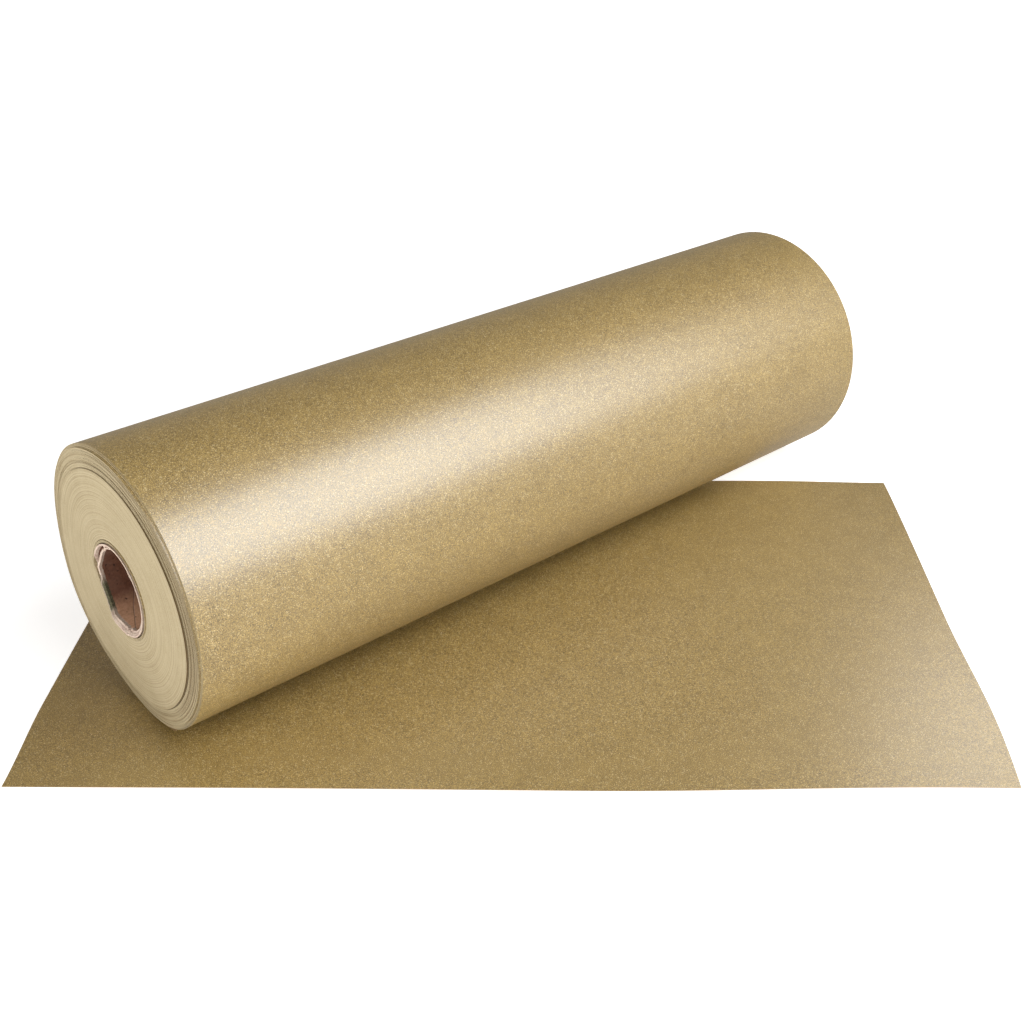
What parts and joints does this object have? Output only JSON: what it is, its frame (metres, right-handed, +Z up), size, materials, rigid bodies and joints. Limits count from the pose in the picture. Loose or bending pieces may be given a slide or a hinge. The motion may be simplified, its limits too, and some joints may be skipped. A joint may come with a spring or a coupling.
{
  "type": "wrapping paper roll",
  "caption": "Counter roll of gold wrapping paper on a board core, lying across a cut sheet of the same paper, with a free end that lifts.",
  "frame": {"origin": "On the surface that everything rests on, straight below the middle of the roll's axis.", "axes": "+X along the roll's axis, away from the end where the core stands out; +Z up; -Y to the front, where the free end and most of the cut sheet lie."},
  "size_m": [0.584, 0.575, 0.1547],
  "materials": {
    "gold_paper": "satin metallic gold print",
    "core_board": "matt",
    "clear_tape": "satin"
  },
  "bodies": {
    "sheet": {"cut_sheet": "gold_paper"},
    "roll": {"core_inner_ply": "core_board", "core_middle_ply": "core_board", "core_outer_ply": "core_board", "start_tape": "clear_tape", "first_turns": "gold_paper", "wound_paper": "gold_paper", "loose_turns_inner": "gold_paper", "loose_turns_outer": "gold_paper", "last_turns": "gold_paper", "outer_turn": "gold_paper"},
    "tail": {"paper_tail": "gold_paper"}
  },
  "joints": [
    {"name": "roll_spin", "type": "hinge", "parent": "sheet", "child": "roll", "pos_m": [0, 0, 0.0777], "axis": [1, 0, 0], "continuous": true},
    {"name": "tail_lift", "type": "hinge", "parent": "roll", "child": "tail", "pos_m": [0, -0.01332, 0.00216], "axis": [1, 0, 0], "range_deg": [0, 15], "stiffness_Nm_per_rad": 0.002, "springref_deg": -20.05}
  ]
}
